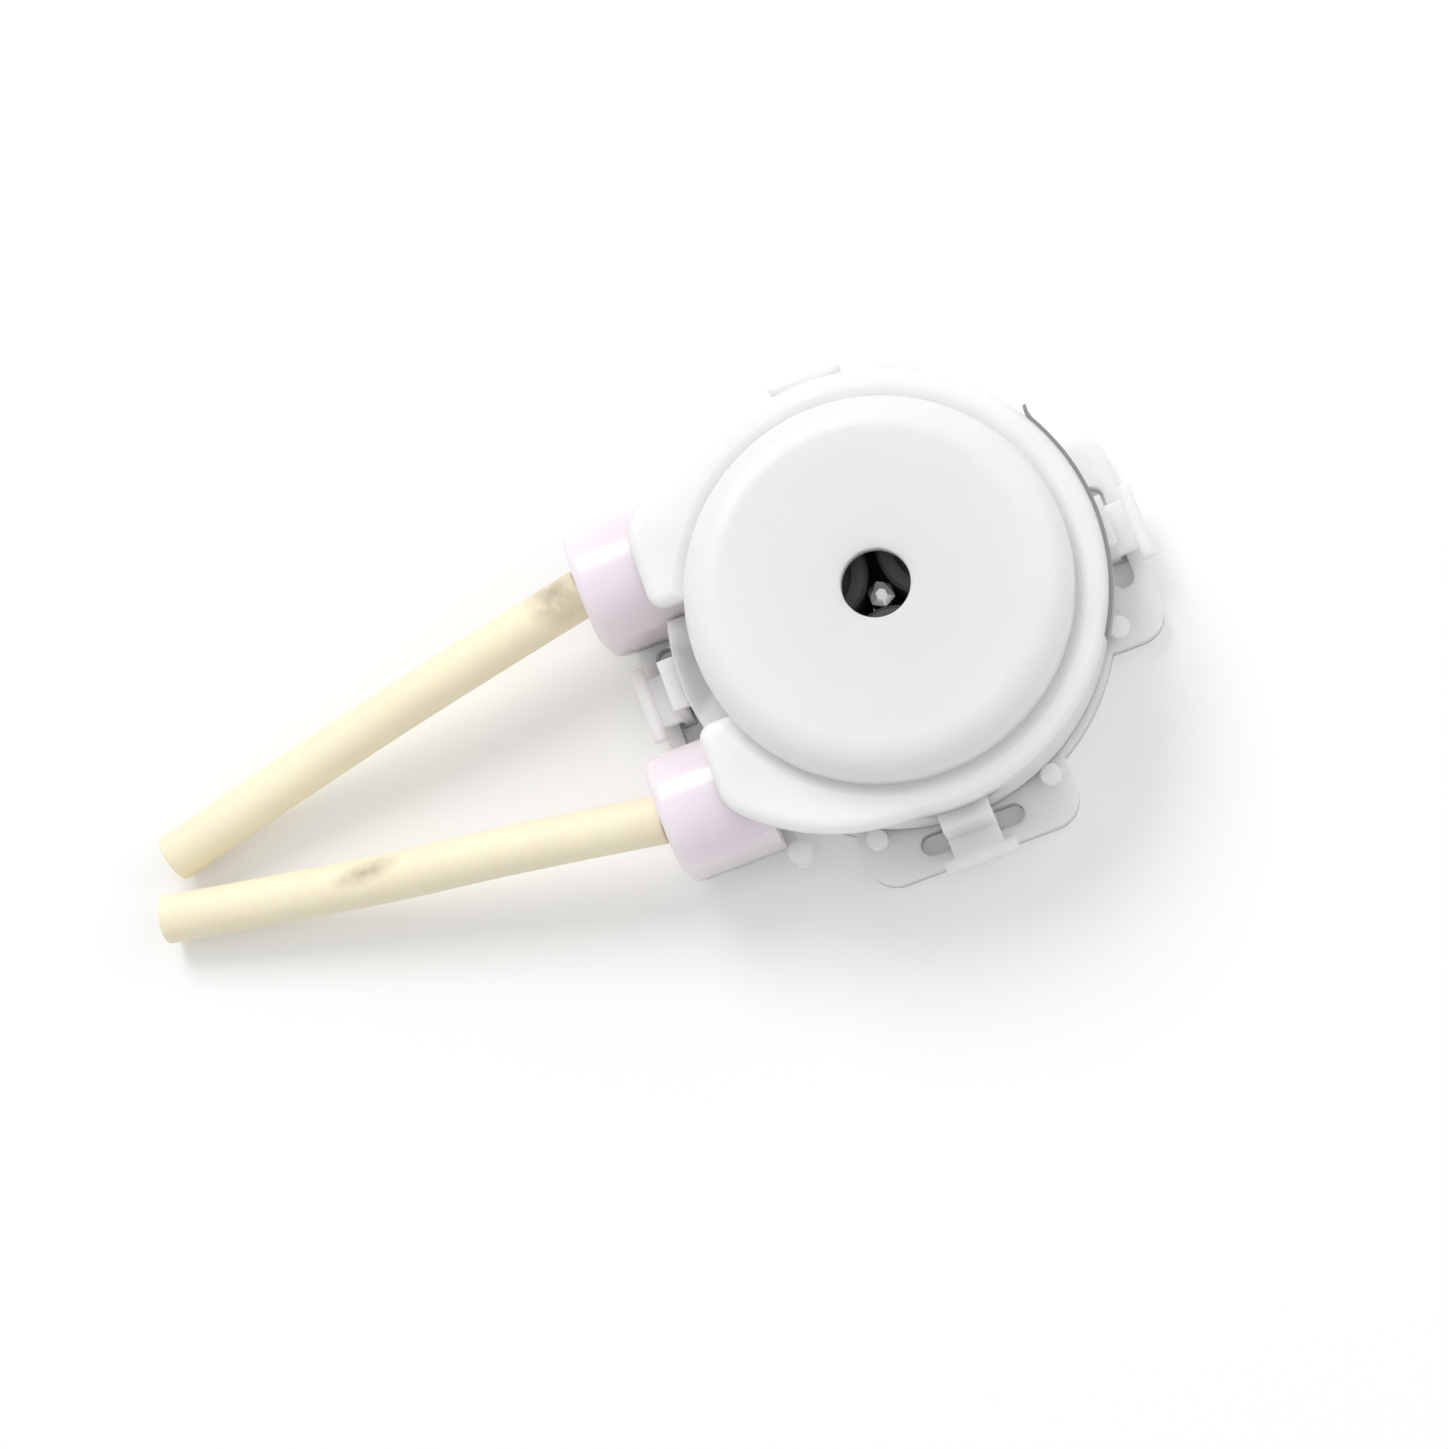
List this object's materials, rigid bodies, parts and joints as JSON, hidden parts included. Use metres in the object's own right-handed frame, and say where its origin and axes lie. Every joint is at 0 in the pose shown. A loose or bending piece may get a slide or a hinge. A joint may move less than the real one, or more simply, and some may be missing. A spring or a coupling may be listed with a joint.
{
  "type": "peristaltic pump head",
  "caption": "Snap-fit peristaltic pump head: domed cover, friction-driven rollers pressing a flexible tube on a round track, collared tube ends and a latched mounting plate",
  "frame": {"origin": "on the pump axis, at the back face of the mounting plate", "axes": "+Z along the pump axis towards the domed front, -X towards the side where the tube leaves, +Y completes a right-handed frame"},
  "size_m": [0.0861, 0.043, 0.0184],
  "materials": {
    "shell": "satin white moulded plastic",
    "housing": "satin white moulded plastic",
    "plate": "satin translucent white moulded plastic",
    "collar": "glossy pale pink moulded plastic",
    "tube": "matte cream elastomer",
    "spring": "bare stainless strip",
    "steel": "polished steel",
    "carrier": "black moulded plastic",
    "roller": "black moulded plastic"
  },
  "bodies": {
    "head": {"front_cover": "shell", "race_housing": "housing", "mounting_plate": "plate", "tube_collar_upper": "collar", "tube_collar_lower": "collar", "pump_tube": "tube", "free_tube_upper": "tube", "free_tube_lower": "tube", "band_spring": "spring", "spindle_bush": "carrier"},
    "rotor": {"carrier_rear": "carrier", "carrier_front": "carrier", "roller_pin_1": "steel", "roller_pin_2": "steel", "roller_pin_3": "steel"},
    "spindle": {"drive_spindle": "steel"},
    "first_roller": {"roller_1": "roller"},
    "second_roller": {"roller_2": "roller"},
    "third_roller": {"roller_3": "roller"},
    "right_latch": {"latch_right": "plate"},
    "top_latch": {"latch_top": "plate"},
    "left_latch": {"latch_left": "plate"},
    "bottom_latch": {"latch_bottom": "plate"}
  },
  "joints": [
    {"name": "rotor_spin", "type": "hinge", "parent": "head", "child": "rotor", "pos_m": [0, 0, 0.008], "axis": [0, 0, 1], "continuous": true},
    {"name": "first_roller_spin", "type": "hinge", "parent": "rotor", "child": "first_roller", "pos_m": [0.0051, 0.00238, 0.009], "axis": [0, 0, 1], "continuous": true},
    {"name": "second_roller_spin", "type": "hinge", "parent": "rotor", "child": "second_roller", "pos_m": [-0.00461, 0.00323, 0.009], "axis": [0, 0, 1], "continuous": true},
    {"name": "third_roller_spin", "type": "hinge", "parent": "rotor", "child": "third_roller", "pos_m": [-0.00049, -0.0056, 0.009], "axis": [0, 0, 1], "continuous": true},
    {"name": "spindle_spin", "type": "hinge", "parent": "head", "child": "spindle", "pos_m": [0, 0, 0.005], "axis": [0, 0, 1], "continuous": true},
    {"name": "right_latch_hinge", "type": "hinge", "parent": "head", "child": "right_latch", "pos_m": [0.01685, 0, 0.0085], "axis": [0, 1, 0], "range_deg": [0, 3], "stiffness_Nm_per_rad": 0.1},
    {"name": "top_latch_hinge", "type": "hinge", "parent": "head", "child": "top_latch", "pos_m": [0, 0.01685, 0.0085], "axis": [-1, 0, 0], "range_deg": [0, 3], "stiffness_Nm_per_rad": 0.1},
    {"name": "left_latch_hinge", "type": "hinge", "parent": "head", "child": "left_latch", "pos_m": [-0.01685, 0, 0.0085], "axis": [0, -1, 0], "range_deg": [0, 3], "stiffness_Nm_per_rad": 0.1},
    {"name": "bottom_latch_hinge", "type": "hinge", "parent": "head", "child": "bottom_latch", "pos_m": [0, -0.01685, 0.0085], "axis": [1, 0, 0], "range_deg": [0, 3], "stiffness_Nm_per_rad": 0.1}
  ],
  "couplings": [
    {"joint": "first_roller_spin", "follows": "rotor_spin", "ratio": -2.2825},
    {"joint": "second_roller_spin", "follows": "rotor_spin", "ratio": -2.2825},
    {"joint": "third_roller_spin", "follows": "rotor_spin", "ratio": -2.2825},
    {"joint": "spindle_spin", "follows": "rotor_spin", "ratio": 9.7826}
  ]
}
